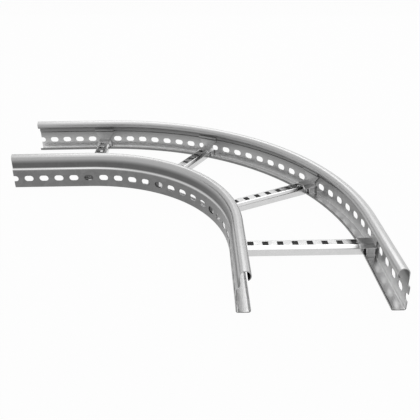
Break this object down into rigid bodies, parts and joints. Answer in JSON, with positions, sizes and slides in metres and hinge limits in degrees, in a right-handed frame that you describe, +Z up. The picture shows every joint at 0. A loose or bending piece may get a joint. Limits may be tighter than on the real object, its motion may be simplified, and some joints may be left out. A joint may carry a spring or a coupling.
{
  "type": "cable tray l-junction",
  "caption": "Flat right-angle bend of ladder cable tray: two curved slotted side rails with rolled top edges, joined by slotted rungs held in clips.",
  "frame": {"origin": "middle of the footprint, on the floor under the rails", "axes": "+Z up; leg 1 leaves along -X at the +Y side, leg 2 leaves along -Y at the +X side"},
  "size_m": [0.5388, 0.5388, 0.056],
  "materials": {
    "galvanised_steel": "hot-dip galvanised, satin"
  },
  "bodies": {
    "root": {"inner_rail": "galvanised_steel", "outer_rail": "galvanised_steel", "rung_1": "galvanised_steel", "rung_1_inner_clip": "galvanised_steel", "rung_1_outer_clip": "galvanised_steel", "rung_2": "galvanised_steel", "rung_2_inner_clip": "galvanised_steel", "rung_2_outer_clip": "galvanised_steel", "rung_3": "galvanised_steel", "rung_3_inner_clip": "galvanised_steel", "rung_3_outer_clip": "galvanised_steel", "rung_4": "galvanised_steel", "rung_4_inner_clip": "galvanised_steel", "rung_4_outer_clip": "galvanised_steel"}
  },
  "joints": []
}
